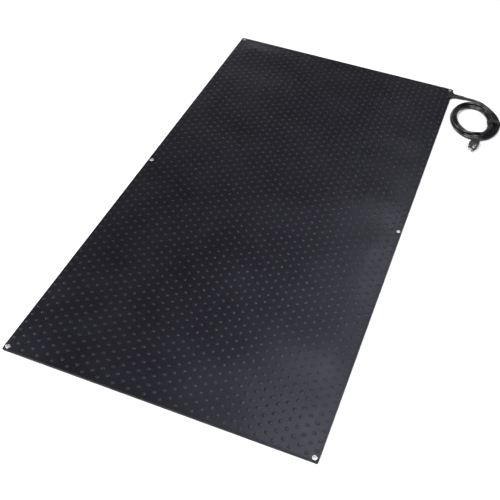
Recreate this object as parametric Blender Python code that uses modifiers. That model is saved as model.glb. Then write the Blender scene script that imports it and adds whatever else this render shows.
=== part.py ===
"""Seedling heat mat: two rubber sheets round a heating wire, six eyelets and a moulded power cord.

Metres, +Z up. The origin is the centre of the mat's underside. +X is across the mat, towards the side
that the cord leaves from, and +Y is along it, towards the end that the cord is near.
"""

import math

import bmesh
import bpy
from mathutils import Matrix, Vector, geometry

# Mat
MAT_WIDTH = 0.610
MAT_LENGTH = 1.220
CORNER_RADIUS = 0.003
BASE_FLOOR = 0.0012  # base sheet under the heating layers
TOP_THICKNESS = 0.0012  # upper sheet, studs included
WELD_MARGIN = 0.020  # width of the raised rim where the two sheets are joined
LAYER_GAP = 0.00025  # between two flat layers
FIT_GAP = 0.0003  # round a piece that seats in another

# Heating layers
SCRIM_THICKNESS = 0.0002
SCREEN_THICKNESS = 0.0002
LAYER_INSET = 0.002  # from the rim to the scrim and the screen
WIRE_DIAMETER = 0.0012
RUN_COUNT = 12
RUN_SIDE_MARGIN = 0.043  # from the mat's long edge to the first run
RUN_NEAR_MARGIN = 0.045  # from the near edge to the turns
RUN_FAR_MARGIN = 0.090  # from the far edge to the turns
RETURN_MARGIN = 0.0235  # from the far edge to the wire that runs back to the cord
TURN_STEPS = 6

# Terminal bay, the corner where the leads meet the wire
BAY_LENGTH_X = 0.072
BAY_LENGTH_Y = 0.070
LEAD_DIAMETER = 0.0014
SPLICE_DIAMETER = 0.0023
SPLICE_BORE = 0.0018
SPLICE_LENGTH = 0.010
SPLICE_GRIP = 0.004  # how far a wire reaches into its splice
LEAD_PITCH = 0.0055
LEAD_BEND = 0.004  # radius of the live lead's turn towards its splice
LEAD_STEPS = 8  # pieces of the neutral lead's sideways shift
TAB_WIDTH = 0.006
TAB_LENGTH = 0.009
TAB_EDGE = 0.0002

# Eyelets
EYELET_INSET = 0.008
EYELET_BORE = 0.0060
EYELET_WALL = 0.0004
EYELET_FLANGE = 0.0096  # outside diameter
EYELET_FLANGE_THICKNESS = 0.0006
EYELET_FOOT = 0.0084  # outside diameter of the clinched end
EYELET_FOOT_THICKNESS = 0.0004
WASHER_THICKNESS = 0.0005
TOP_RECESS = 0.0008  # down to the sheet between the studs
ROUND_STEPS = 24

# Strain relief
RELIEF_FROM_END = 0.030  # from the mat's far end to its middle
RELIEF_WIDTH = 0.027
RELIEF_HEIGHT = 0.0074
RELIEF_REACH = 0.034  # from the mat's edge to the cord
LIP_DEPTH = 0.0085  # how far the clamp covers the mat
LIP_EDGE = 0.0006
TONGUE_WIDTH = 0.018
TONGUE_THICKNESS = 0.0020
TONGUE_OVERHANG = 0.001  # how far the tongue reaches past the rim, into the pocket
RELIEF_ROOT = 0.0015  # how far the lip and the tongue run into the moulding
RELIEF_SLEEVE = 0.0011  # wall round the cord at the thin end
RELIEF_SHIFT = 0.0012  # how far the thin end leans towards the mat's far end
RELIEF_FLOOR_GAP = 0.0001
RELIEF_STEPS = 24

# Sections of the taper: share of its reach, how much of the thick end's extra width and extra
# height is left there, share of the lean, and how square the outline is (2 is round).
RELIEF_SECTIONS = (
    (0.00, 1.00, 1.0, 0.00, 6.0),
    (0.07, 0.84, 1.0, 0.00, 5.0),
    (0.14, 0.50, 0.9, 0.08, 4.0),
    (0.25, 0.25, 0.5, 0.25, 3.2),
    (0.42, 0.11, 0.0, 0.42, 2.6),
    (0.71, 0.05, 0.0, 0.75, 2.2),
    (1.00, 0.00, 0.0, 1.00, 2.0),
)

# Power cord, placed from the point where the strain relief's middle meets the mat's edge
CORD_DIAMETER = 0.0070
CORD_SPACING = 0.0165  # between two points of the tube
CORD_FLOOR_GAP = 0.0002
CORD_RESOLUTION = 4  # gives a tube of 12 sides
ROUTE_STEPS = 12  # fine steps between two of the route's own points
COIL_MIDDLE = (0.0785, -0.0894)
COIL_SEMI_X = 0.0629
COIL_SEMI_Y = 0.0818
COIL_HOLE_SHIFT = (-0.0075, -0.0038)  # from the coil's middle to its hole's
COIL_HOLE_SEMI_X = 0.0402
COIL_HOLE_SEMI_Y = 0.0570
COIL_TILT = math.radians(10)
COIL_HEIGHT = 0.0150
COIL_EDGE = 0.0030
COIL_STEPS = 48
TAIL_LENGTH = 0.0035  # from the coil to the plug's neck

# The lead's own points, from just past the strain relief to where it reaches the coil.
# The heights are above the middle of a cord that lies on the floor.
LEAD_ROUTE = (
    (0.0395, 0.0012, 0.0010),
    (0.0460, 0.0018, 0.0007),
    (0.0530, 0.0025, 0.0003),
    (0.0610, 0.0026, 0.0),
    (0.0695, 0.0014, 0.0),
    (0.0780, -0.0013, 0.0),
    (0.0855, -0.0052, 0.0),
)

# Tie round the coil
TIE_WIDTH = 0.014
TIE_THICKNESS = 0.0010
TIE_GAP = 0.0005
TIE_FIN_LENGTH = 0.013
TIE_FIN_THICKNESS = 0.0022
TIE_FIN_HEIGHT = 0.0075
TIE_FIN_INSET = 0.0005  # from the strap's side to the fin's
TIE_GROOVE_PAST = 0.010  # how far the groove's cutter runs past the bundle, on both sides

# Plug, measured along its own axes: out of its face, sideways and up
PLUG_NECK_START = (0.0975, -0.1750)  # from the same point as the cord
PLUG_HEADING = math.radians(-103)
PLUG_NECK_LENGTH = 0.007
PLUG_NECK_RADIUS = 0.0050
PLUG_SHOULDER_RADIUS = 0.0068
PLUG_LENGTH = 0.0235
PLUG_WIDTH = 0.022
PLUG_HEIGHT = 0.019
PLUG_EDGE = 0.0030
INSERT_WIDTH = 0.0190
INSERT_HEIGHT = 0.0160
INSERT_THICKNESS = 0.0020
BLADE_SPACING = 0.0127
BLADE_WIDTH = 0.00635
BLADE_THICKNESS = 0.0015
BLADE_LENGTH = 0.0160
BLADE_ROOT = 0.0090  # hidden part, inside the plug
BLADE_SIDE = 0.0056  # sideways place of the two blades
PIN_DIAMETER = 0.0048
PIN_LENGTH = 0.0190
PIN_FROM_BLADES = 0.0119

# Heights that follow
SCRIM_BOTTOM = BASE_FLOOR + LAYER_GAP
WIRE_BOTTOM = SCRIM_BOTTOM + SCRIM_THICKNESS + LAYER_GAP
SCREEN_BOTTOM = WIRE_BOTTOM + WIRE_DIAMETER + LAYER_GAP
RIM_TOP = SCREEN_BOTTOM + SCREEN_THICKNESS
TOP_BOTTOM = RIM_TOP + LAYER_GAP
MAT_TOP = TOP_BOTTOM + TOP_THICKNESS
WIRE_HEIGHT = WIRE_BOTTOM + WIRE_DIAMETER / 2
LEAD_HEIGHT = (BASE_FLOOR + TOP_BOTTOM) / 2
MAT_EDGE = MAT_WIDTH / 2
MAT_END = MAT_LENGTH / 2
POCKET_X = MAT_EDGE - WELD_MARGIN
POCKET_Y = MAT_END - WELD_MARGIN
RELIEF_Y = MAT_END - RELIEF_FROM_END
RELIEF_END_RADIUS = CORD_DIAMETER / 2 + RELIEF_SLEEVE
RELIEF_END_HEIGHT = RELIEF_END_RADIUS + RELIEF_FLOOR_GAP
CORD_HEIGHT = CORD_DIAMETER / 2 + CORD_FLOOR_GAP
CUT_PAST = 0.001  # how far a cutter runs past the face that it opens

EYELET_OUTSIDE = EYELET_BORE + 2 * EYELET_WALL
SHEET_HOLE = EYELET_OUTSIDE + 2 * FIT_GAP
FLANGE_BOTTOM = MAT_TOP - TOP_RECESS + FIT_GAP
FLANGE_TOP = FLANGE_BOTTOM + EYELET_FLANGE_THICKNESS
WASHER_BOTTOM = EYELET_FOOT_THICKNESS + FIT_GAP
BASE_RECESS = WASHER_BOTTOM + WASHER_THICKNESS + FIT_GAP
EYELET_PLACES = [
    (side * (MAT_EDGE - EYELET_INSET), end * (MAT_END - EYELET_INSET))
    for side, end in ((-1, 1), (1, 1), (-1, 0), (1, 0), (-1, -1), (1, -1))
]


# Scene, materials and basic shapes


def clear_scene():
    for old in list(bpy.data.objects):
        bpy.data.objects.remove(old, do_unlink=True)


def new_collection(name):
    made = bpy.data.collections.new(name)
    bpy.context.scene.collection.children.link(made)
    return made


def new_material(name, color, roughness, metallic=0.0):
    material = bpy.data.materials.new(name)
    material.use_nodes = True
    shader = material.node_tree.nodes["Principled BSDF"]
    shader.inputs["Base Color"].default_value = (*color, 1.0)
    shader.inputs["Roughness"].default_value = roughness
    shader.inputs["Metallic"].default_value = metallic
    return material


def add_object(name, data, material, parent=None):
    made = bpy.data.objects.new(name, data)
    PARTS.objects.link(made)
    data.materials.append(material)
    made.parent = parent
    return made


def add_frame(name, place, turn=0.0, parent=None):
    """An empty that pieces are placed from."""
    made = bpy.data.objects.new(name, None)
    made.location = place
    made.rotation_euler = (0.0, 0.0, turn)
    made.parent = parent
    PARTS.objects.link(made)
    return made


def mesh_from(name, bm):
    bmesh.ops.recalc_face_normals(bm, faces=bm.faces)
    mesh = bpy.data.meshes.new(name)
    bm.to_mesh(mesh)
    bm.free()
    return mesh


def add_block(bm, low, high):
    """A box between two corners, as a cube primitive."""
    middle = [(a + b) / 2 for a, b in zip(low, high)]
    size = [b - a for a, b in zip(low, high)]
    place = Matrix.Translation(middle) @ Matrix.Diagonal((*size, 1.0))
    bmesh.ops.create_cube(bm, size=1.0, matrix=place)


def add_cylinder(bm, radius, bottom, top, x=0.0, y=0.0, steps=ROUND_STEPS):
    place = Matrix.Translation((x, y, (bottom + top) / 2))
    bmesh.ops.create_cone(
        bm, cap_ends=True, segments=steps, radius1=radius, radius2=radius, depth=top - bottom, matrix=place
    )


def block(name, low, high):
    bm = bmesh.new()
    add_block(bm, low, high)
    return mesh_from(name, bm)


def plate(name, half_x, half_y, bottom, top, corner):
    """A flat sheet with rounded corners."""
    bm = bmesh.new()
    add_block(bm, (-half_x, -half_y, bottom), (half_x, half_y, top))
    upright = [e for e in bm.edges if abs(e.verts[0].co.z - e.verts[1].co.z) > (top - bottom) / 2]
    bmesh.ops.bevel(bm, geom=upright, offset=corner, segments=4, profile=0.5, affect="EDGES")
    return mesh_from(name, bm)


def soften(obj, width, segments=2):
    bevel = obj.modifiers.new("edges", "BEVEL")
    bevel.width = width
    bevel.segments = segments
    bevel.limit_method = "ANGLE"
    bevel.angle_limit = math.radians(40)


def smooth(mesh, angle=35):
    mesh.shade_smooth()
    mesh.set_sharp_from_angle(angle=math.radians(angle))


def cutter(name, bm, parent=None):
    made = bpy.data.objects.new(name, mesh_from(name, bm))
    CUTTERS.objects.link(made)
    made.parent = parent
    made.hide_render = True
    made.display_type = "WIRE"
    return made


def combine(obj, other, operation="DIFFERENCE"):
    boolean = obj.modifiers.new(operation.lower(), "BOOLEAN")
    boolean.operation = operation
    boolean.solver = "EXACT"
    boolean.object = other


def tube(name, points, diameter, material, resolution=2):
    """A round bar along straight pieces between points."""
    curve = bpy.data.curves.new(name, "CURVE")
    curve.dimensions = "3D"
    curve.bevel_depth = diameter / 2
    curve.bevel_resolution = resolution
    curve.use_fill_caps = True
    spline = curve.splines.new("POLY")
    spline.points.add(len(points) - 1)
    for point, place in zip(spline.points, points):
        point.co = (*place, 1.0)
    return add_object(name, curve, material)


def turned(name, profile, material, place):
    """A ring whose closed outline, in radius and height, turns about Z."""
    mesh = bpy.data.meshes.new(name)
    count = len(profile)
    mesh.from_pydata([(r, 0.0, z) for r, z in profile], [(i, (i + 1) % count) for i in range(count)], [])
    made = add_object(name, mesh, material)
    made.location = (*place, 0.0)
    screw = made.modifiers.new("turn", "SCREW")
    screw.steps = ROUND_STEPS
    screw.render_steps = ROUND_STEPS
    screw.use_merge_vertices = True
    screw.merge_threshold = 0.00001
    screw.use_smooth_shade = True
    return made


# Rubber sheets


def hole_cutter(name, bottom, top, recess_low, recess_high):
    """The six eyelet holes, each with a wider recess at one end."""
    bm = bmesh.new()
    for x, y in EYELET_PLACES:
        add_cylinder(bm, SHEET_HOLE / 2, bottom, top, x, y)
    holes = cutter(name + "_holes", bm)
    bm = bmesh.new()
    for x, y in EYELET_PLACES:
        add_cylinder(bm, EYELET_FLANGE / 2 + FIT_GAP, recess_low, recess_high, x, y)
    return holes, cutter(name + "_recesses", bm)


def build_base_sheet():
    mesh = plate("base_sheet", MAT_EDGE, MAT_END, 0.0, RIM_TOP, CORNER_RADIUS)
    base = add_object("base_sheet", mesh, RUBBER)
    bm = bmesh.new()
    add_block(bm, (-POCKET_X, -POCKET_Y, BASE_FLOOR), (POCKET_X, POCKET_Y, RIM_TOP + CUT_PAST))
    combine(base, cutter("base_pocket", bm))
    slot_half = TONGUE_WIDTH / 2 + FIT_GAP
    bm = bmesh.new()
    add_block(
        bm,
        (POCKET_X - CUT_PAST, RELIEF_Y - slot_half, BASE_FLOOR),
        (MAT_EDGE + CUT_PAST, RELIEF_Y + slot_half, RIM_TOP + CUT_PAST),
    )
    combine(base, cutter("base_tongue_slot", bm))
    for part in hole_cutter("base", -CUT_PAST, RIM_TOP + CUT_PAST, -CUT_PAST, BASE_RECESS):
        combine(base, part)


def build_top_sheet():
    mesh = plate("top_sheet", MAT_EDGE, MAT_END, TOP_BOTTOM, MAT_TOP, CORNER_RADIUS)
    top = add_object("top_sheet", mesh, RUBBER)
    recess_low = MAT_TOP - TOP_RECESS
    for part in hole_cutter("top", TOP_BOTTOM - CUT_PAST, MAT_TOP + CUT_PAST, recess_low, MAT_TOP + CUT_PAST):
        combine(top, part)


# Heating layers


def layer(name, bottom, thickness, material):
    """A thin sheet that fills the pocket, without the corner where the leads are."""
    half_x, half_y = POCKET_X - LAYER_INSET, POCKET_Y - LAYER_INSET
    sheet = block(name, (-half_x, -half_y, bottom), (half_x, half_y, bottom + thickness))
    made = add_object(name, sheet, material)
    bm = bmesh.new()
    add_block(
        bm,
        (POCKET_X - BAY_LENGTH_X, POCKET_Y - BAY_LENGTH_Y, bottom - CUT_PAST),
        (POCKET_X + CUT_PAST, POCKET_Y + CUT_PAST, bottom + thickness + CUT_PAST),
    )
    combine(made, cutter(name + "_bay", bm))


def arc(middle, radius, start, end, steps):
    return [
        (
            middle[0] + radius * math.cos(start + (end - start) * i / steps),
            middle[1] + radius * math.sin(start + (end - start) * i / steps),
        )
        for i in range(steps + 1)
    ]


def wire_plan():
    """The wire from its live end in the bay, along the runs, and back to its neutral end."""
    first = MAT_EDGE - RUN_SIDE_MARGIN
    pitch = 2 * first / (RUN_COUNT - 1)
    near = -MAT_END + RUN_NEAR_MARGIN + pitch / 2
    far = MAT_END - RUN_FAR_MARGIN - pitch / 2
    plan = [(first, splice_end() - SPLICE_LENGTH + SPLICE_GRIP)]
    for run in range(RUN_COUNT - 1):
        middle = first - (run + 0.5) * pitch
        if run % 2 == 0:
            plan += arc((middle, near), pitch / 2, 0.0, -math.pi, TURN_STEPS)
        else:
            plan += arc((middle, far), pitch / 2, 0.0, math.pi, TURN_STEPS)
    back = MAT_END - RETURN_MARGIN
    bend = pitch / 2
    plan += arc((-first + bend, back - bend), bend, math.pi, math.pi / 2, TURN_STEPS)
    neutral = first - SPLICE_LENGTH - 2 * LEAD_PITCH
    plan.append((neutral - SPLICE_LENGTH + SPLICE_GRIP, back))
    return plan, first, neutral, back


def splice_end():
    """The bay end of the live splice, which lies along Y."""
    return RELIEF_Y - TONGUE_WIDTH / 2 - 2 * LEAD_PITCH


def build_heating_wire():
    plan, _, _, _ = wire_plan()
    tube("heating_wire", [(x, y, WIRE_HEIGHT) for x, y in plan], WIRE_DIAMETER, NICHROME)


def build_splice(name, x, y, along):
    """A crimped sleeve with its open end at x, y and its length running back from there."""
    profile = [
        (SPLICE_DIAMETER / 2, SPLICE_LENGTH),
        (SPLICE_DIAMETER / 2, 0.0),
        (SPLICE_BORE / 2, 0.0),
        (SPLICE_BORE / 2, SPLICE_LENGTH),
    ]
    made = turned(name, profile, COPPER, (x, y))
    made.location.z = LEAD_HEIGHT
    made.rotation_euler = along


def build_leads():
    """Three leads from the strain relief's tongue: live and neutral to their splices, earth to its tab."""
    _, first, neutral, back = wire_plan()
    start = MAT_EDGE - WELD_MARGIN - FIT_GAP - TONGUE_OVERHANG
    live_y = RELIEF_Y - LEAD_PITCH
    top_of_splice = splice_end()
    turn_middle = (first + LEAD_BEND, live_y - LEAD_BEND)
    live = [(start, live_y), *arc(turn_middle, LEAD_BEND, math.pi / 2, math.pi, TURN_STEPS)]
    live.append((first, top_of_splice - SPLICE_GRIP))
    neutral_y = RELIEF_Y + LEAD_PITCH
    shift = back - neutral_y
    reach = start - neutral - LEAD_BEND
    neutral_route = [(start, neutral_y)]
    for step in range(1, LEAD_STEPS):
        share = step / LEAD_STEPS
        ease = share * share * (3 - 2 * share)
        neutral_route.append((start - LEAD_BEND / 2 - reach * share, neutral_y + shift * ease))
    neutral_route.append((neutral - SPLICE_GRIP, back))
    earth = [(start, RELIEF_Y), (earth_end(), RELIEF_Y)]
    for name, route, material in (
        ("live_lead", live, LEAD_BLACK),
        ("neutral_lead", neutral_route, LEAD_WHITE),
        ("ground_lead", earth, LEAD_GREEN),
    ):
        tube(name, [(x, y, LEAD_HEIGHT) for x, y in route], LEAD_DIAMETER, material)
    build_splice("live_splice", first, top_of_splice, (math.pi / 2, 0.0, 0.0))
    build_splice("neutral_splice", neutral, back, (0.0, -math.pi / 2, 0.0))


def earth_end():
    """Where the earth lead ends, in front of its tab."""
    return POCKET_X - BAY_LENGTH_X + TAB_LENGTH / 2


def build_ground_tab():
    """A flat tab beside the screen's edge, level with it, with a barrel for the earth lead."""
    end = earth_end() - FIT_GAP
    low = (POCKET_X - BAY_LENGTH_X + FIT_GAP, RELIEF_Y - TAB_WIDTH / 2, LEAD_HEIGHT - LEAD_DIAMETER / 2)
    high = (end, RELIEF_Y + TAB_WIDTH / 2, LEAD_HEIGHT + LEAD_DIAMETER / 2)
    soften(add_object("ground_tab", block("ground_tab", low, high), COPPER), TAB_EDGE, 1)


# Eyelets


def build_eyelets():
    """Each eyelet is a flange, a barrel and a foot that is clinched under a loose washer."""
    bore, outside = EYELET_BORE / 2, EYELET_OUTSIDE / 2
    edge = EYELET_FLANGE_THICKNESS / 3
    eyelet = [
        (EYELET_FLANGE / 2, FLANGE_TOP - edge),
        (EYELET_FLANGE / 2, FLANGE_BOTTOM),
        (outside, FLANGE_BOTTOM),
        (outside, EYELET_FOOT_THICKNESS),
        (EYELET_FOOT / 2, EYELET_FOOT_THICKNESS),
        (EYELET_FOOT / 2, 0.0),
        (bore, 0.0),
        (bore, FLANGE_TOP - edge),
        (bore + edge, FLANGE_TOP),
        (EYELET_FLANGE / 2 - edge, FLANGE_TOP),
    ]
    washer = [
        (EYELET_FLANGE / 2, WASHER_BOTTOM + WASHER_THICKNESS),
        (EYELET_FLANGE / 2, WASHER_BOTTOM),
        (SHEET_HOLE / 2, WASHER_BOTTOM),
        (SHEET_HOLE / 2, WASHER_BOTTOM + WASHER_THICKNESS),
    ]
    for number, place in enumerate(EYELET_PLACES, 1):
        turned(f"eyelet_{number}", eyelet, NICKEL, place)
        turned(f"eyelet_washer_{number}", washer, NICKEL, place)


# Strain relief


def section_ring(bm, section):
    """One outline of the taper, as a ring of points that is square at the mat and round at the cord."""
    along, wide, high, lean, power = section
    x = MAT_EDGE + FIT_GAP + (RELIEF_REACH - FIT_GAP) * along
    half_y = RELIEF_END_RADIUS + (RELIEF_WIDTH / 2 - RELIEF_END_RADIUS) * wide
    half_z = RELIEF_END_RADIUS + (RELIEF_HEIGHT / 2 - RELIEF_END_RADIUS) * high
    ring = []
    for step in range(RELIEF_STEPS):
        angle = 2 * math.pi * step / RELIEF_STEPS
        side, up = math.cos(angle), math.sin(angle)
        y = RELIEF_Y + RELIEF_SHIFT * lean + math.copysign(abs(side) ** (2 / power), side) * half_y
        z = RELIEF_FLOOR_GAP + half_z + math.copysign(abs(up) ** (2 / power), up) * half_z
        ring.append(bm.verts.new((x, y, z)))
    return ring


def build_strain_relief():
    """A moulding that clamps the mat's edge, holds on by a tongue in the rim and tapers on to the cord."""
    bm = bmesh.new()
    rings = [section_ring(bm, section) for section in RELIEF_SECTIONS]
    for a, b in zip(rings, rings[1:]):
        for i in range(RELIEF_STEPS):
            j = (i + 1) % RELIEF_STEPS
            bm.faces.new((a[i], a[j], b[j], b[i]))
    bm.faces.new(rings[0])
    bm.faces.new(rings[-1][::-1])
    mesh = mesh_from("strain_relief", bm)
    smooth(mesh, 40)
    relief = add_object("strain_relief", mesh, MOULDED)
    root = MAT_EDGE + FIT_GAP + RELIEF_ROOT
    lip_half = RELIEF_WIDTH / 2 - LIP_EDGE
    bm = bmesh.new()
    add_block(
        bm,
        (MAT_EDGE - LIP_DEPTH, RELIEF_Y - lip_half, MAT_TOP + FIT_GAP),
        (root, RELIEF_Y + lip_half, RELIEF_HEIGHT - RELIEF_FLOOR_GAP),
    )
    bmesh.ops.bevel(bm, geom=list(bm.edges), offset=LIP_EDGE, segments=2, profile=0.5, affect="EDGES")
    combine(relief, cutter("relief_lip", bm), "UNION")
    tongue_bottom = BASE_FLOOR + FIT_GAP
    bm = bmesh.new()
    add_block(
        bm,
        (POCKET_X - TONGUE_OVERHANG, RELIEF_Y - TONGUE_WIDTH / 2, tongue_bottom),
        (root, RELIEF_Y + TONGUE_WIDTH / 2, tongue_bottom + TONGUE_THICKNESS),
    )
    combine(relief, cutter("relief_tongue", bm), "UNION")


# Power cord


def smooth_route(points, spacing):
    """Points about one spacing apart on a smooth curve through the route's own points."""
    places = [Vector(p) for p in points]
    fine = []
    for i in range(len(places) - 1):
        before = places[max(i - 1, 0)]
        after = places[min(i + 2, len(places) - 1)]
        start, end = places[i], places[i + 1]
        first = start + (end - before) / 6
        second = end - (after - start) / 6
        piece = geometry.interpolate_bezier(start, first, second, end, ROUTE_STEPS)
        fine += piece if i == len(places) - 2 else piece[:-1]
    along = [0.0]
    for a, b in zip(fine, fine[1:]):
        along.append(along[-1] + (b - a).length)
    count = max(2, round(along[-1] / spacing) + 1)
    made = []
    for step in range(count):
        target = along[-1] * step / (count - 1)
        index = max(i for i in range(len(along) - 1) if along[i] <= target + 1e-12)
        share = (target - along[index]) / (along[index + 1] - along[index])
        made.append(tuple(fine[index].lerp(fine[index + 1], share)))
    return made


def build_cord_lead(exit_frame):
    chosen = [(x, y, CORD_HEIGHT + z) for x, y, z in LEAD_ROUTE]
    start = (RELIEF_REACH + FIT_GAP, RELIEF_SHIFT, RELIEF_END_HEIGHT)
    route = [start, *smooth_route(chosen, CORD_SPACING)]
    tube("cord_lead", route, CORD_DIAMETER, CORD_PVC, CORD_RESOLUTION).parent = exit_frame


def plug_direction():
    return Vector((math.cos(PLUG_HEADING), math.sin(PLUG_HEADING), 0.0))


def build_cord_tail(exit_frame):
    end = Vector((*PLUG_NECK_START, PLUG_HEIGHT / 2)) - plug_direction() * FIT_GAP
    start = end - plug_direction() * TAIL_LENGTH
    route = [tuple(start.lerp(end, share)) for share in (0.0, 0.5, 1.0)]
    tube("cord_tail", route, CORD_DIAMETER, CORD_PVC, CORD_RESOLUTION).parent = exit_frame


def oval(bm, middle, semi_x, semi_y, bottom, top):
    place = Matrix.Translation((*middle, (bottom + top) / 2)) @ Matrix.Diagonal((semi_x, semi_y, 1.0, 1.0))
    bmesh.ops.create_cone(
        bm, cap_ends=True, segments=COIL_STEPS, radius1=1.0, radius2=1.0, depth=top - bottom, matrix=place
    )


def coil_hole_middle():
    """The hole's middle in the coil's own axes, which are turned by its tilt."""
    shift = Matrix.Rotation(-COIL_TILT, 2) @ Vector(COIL_HOLE_SHIFT)
    return shift.x, shift.y


def coil_inner_side():
    """The least distance from the coil's middle to its inner wall, anywhere under the tie's width."""
    along, across = coil_hole_middle()
    across = abs(across) + TIE_WIDTH / 2
    return along + COIL_HOLE_SEMI_X * math.sqrt(1 - (across / COIL_HOLE_SEMI_Y) ** 2)


def build_cord_coil(coil_frame):
    """The oval outer shape of the wound cord, with a groove underneath for the tie."""
    bm = bmesh.new()
    oval(bm, (0.0, 0.0), COIL_SEMI_X, COIL_SEMI_Y, 0.0, COIL_HEIGHT)
    coil = add_object("cord_coil", mesh_from("cord_coil", bm), CORD_PVC, coil_frame)
    bm = bmesh.new()
    oval(bm, coil_hole_middle(), COIL_HOLE_SEMI_X, COIL_HOLE_SEMI_Y, -CUT_PAST, COIL_HEIGHT + CUT_PAST)
    combine(coil, cutter("coil_hole", bm, coil_frame))
    soften(coil, COIL_EDGE, 2)
    groove = TIE_WIDTH / 2 + FIT_GAP
    bm = bmesh.new()
    add_block(
        bm,
        (coil_inner_side() - TIE_GROOVE_PAST, -groove, -CUT_PAST),
        (COIL_SEMI_X + TIE_GROOVE_PAST, groove, TIE_THICKNESS + FIT_GAP),
    )
    combine(coil, cutter("coil_tie_groove", bm, coil_frame))


def build_coil_tie(coil_frame):
    """A strap round the coil's bundle, with both ends pressed together into a fin on the outside."""
    inner, outer = coil_inner_side() - TIE_GAP, COIL_SEMI_X + TIE_GAP
    top = COIL_HEIGHT + TIE_GAP
    half = TIE_WIDTH / 2
    low = (inner - TIE_THICKNESS, -half, 0.0)
    high = (outer + TIE_THICKNESS, half, top + TIE_THICKNESS)
    tie = add_object("coil_tie", block("coil_tie", low, high), STRAP, coil_frame)
    bm = bmesh.new()
    add_block(bm, (inner, -half - CUT_PAST, TIE_THICKNESS), (outer, half + CUT_PAST, top))
    combine(tie, cutter("tie_inside", bm, coil_frame))
    fin_half = half - TIE_FIN_INSET
    bm = bmesh.new()
    add_block(
        bm,
        (outer + TIE_THICKNESS / 2, -fin_half, TIE_FIN_HEIGHT - TIE_FIN_THICKNESS / 2),
        (outer + TIE_THICKNESS + TIE_FIN_LENGTH, fin_half, TIE_FIN_HEIGHT + TIE_FIN_THICKNESS / 2),
    )
    combine(tie, cutter("tie_fin", bm, coil_frame), "UNION")


# Plug: in its own axes +X is out of its face, +Y is sideways and the middle of its body is at height 0


def blade_places():
    """Sideways place and height of the two blades."""
    return [(BLADE_SIDE, side * BLADE_SPACING / 2) for side in (1, -1)]


def insert_face():
    return PLUG_NECK_LENGTH + PLUG_LENGTH


def blade_pockets(bm, start, end, gap):
    """Slots for the blades and the earth pin, a little larger than they are."""
    for side, height in blade_places():
        add_block(
            bm,
            (start, side - BLADE_WIDTH / 2 - gap, height - BLADE_THICKNESS / 2 - gap),
            (end, side + BLADE_WIDTH / 2 + gap, height + BLADE_THICKNESS / 2 + gap),
        )


def pin_pocket(bm, start, end, gap):
    place = Matrix.Translation(((start + end) / 2, BLADE_SIDE - PIN_FROM_BLADES, 0.0))
    bmesh.ops.create_cone(
        bm,
        cap_ends=True,
        segments=ROUND_STEPS,
        radius1=PIN_DIAMETER / 2 + gap,
        radius2=PIN_DIAMETER / 2 + gap,
        depth=end - start,
        matrix=place @ Matrix.Rotation(math.pi / 2, 4, "Y"),
    )


def build_plug_body(frame):
    face = insert_face()
    low = (PLUG_NECK_LENGTH, -PLUG_WIDTH / 2, -PLUG_HEIGHT / 2)
    body = add_object(
        "plug_body", block("plug_body", low, (face, PLUG_WIDTH / 2, PLUG_HEIGHT / 2)), MOULDED, frame
    )
    soften(body, PLUG_EDGE, 3)
    neck_end = PLUG_NECK_LENGTH + PLUG_EDGE
    bm = bmesh.new()
    place = Matrix.Translation((neck_end / 2, 0.0, 0.0)) @ Matrix.Rotation(math.pi / 2, 4, "Y")
    bmesh.ops.create_cone(
        bm,
        cap_ends=True,
        segments=ROUND_STEPS,
        radius1=PLUG_NECK_RADIUS,
        radius2=PLUG_SHOULDER_RADIUS,
        depth=neck_end,
        matrix=place,
    )
    combine(body, cutter("plug_neck", bm, frame), "UNION")
    bm = bmesh.new()
    add_block(
        bm,
        (face - INSERT_THICKNESS - FIT_GAP, -INSERT_WIDTH / 2 - FIT_GAP, -INSERT_HEIGHT / 2 - FIT_GAP),
        (face + CUT_PAST, INSERT_WIDTH / 2 + FIT_GAP, INSERT_HEIGHT / 2 + FIT_GAP),
    )
    combine(body, cutter("plug_recess", bm, frame))
    bottom = face - INSERT_THICKNESS - FIT_GAP
    bm = bmesh.new()
    blade_pockets(bm, bottom - BLADE_ROOT, bottom + CUT_PAST, FIT_GAP)
    pin_pocket(bm, bottom - BLADE_ROOT, bottom + CUT_PAST, FIT_GAP)
    combine(body, cutter("plug_pockets", bm, frame))


def build_plug_insert(frame):
    """The moulded plate in the plug's face that holds the blades."""
    face = insert_face()
    low = (face - INSERT_THICKNESS, -INSERT_WIDTH / 2, -INSERT_HEIGHT / 2)
    insert = add_object(
        "plug_insert", block("plug_insert", low, (face, INSERT_WIDTH / 2, INSERT_HEIGHT / 2)), INSERT, frame
    )
    bm = bmesh.new()
    blade_pockets(bm, low[0] - CUT_PAST, face + CUT_PAST, FIT_GAP)
    pin_pocket(bm, low[0] - CUT_PAST, face + CUT_PAST, FIT_GAP)
    combine(insert, cutter("insert_slots", bm, frame))


def build_blades(frame):
    face = insert_face()
    root = face - INSERT_THICKNESS - BLADE_ROOT + FIT_GAP
    for name, (side, height) in zip(("plug_blade_live", "plug_blade_neutral"), blade_places()):
        low = (root, side - BLADE_WIDTH / 2, height - BLADE_THICKNESS / 2)
        high = (face + BLADE_LENGTH, side + BLADE_WIDTH / 2, height + BLADE_THICKNESS / 2)
        soften(add_object(name, block(name, low, high), BRASS, frame), BLADE_THICKNESS / 4, 1)
    bm = bmesh.new()
    pin_pocket(bm, root, face + PIN_LENGTH, 0.0)
    mesh = mesh_from("plug_ground_pin", bm)
    smooth(mesh)
    soften(add_object("plug_ground_pin", mesh, BRASS, frame), PIN_DIAMETER / 8, 2)


clear_scene()
PARTS = new_collection("seedling_heat_mat")
CUTTERS = new_collection("cutters")

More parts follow.
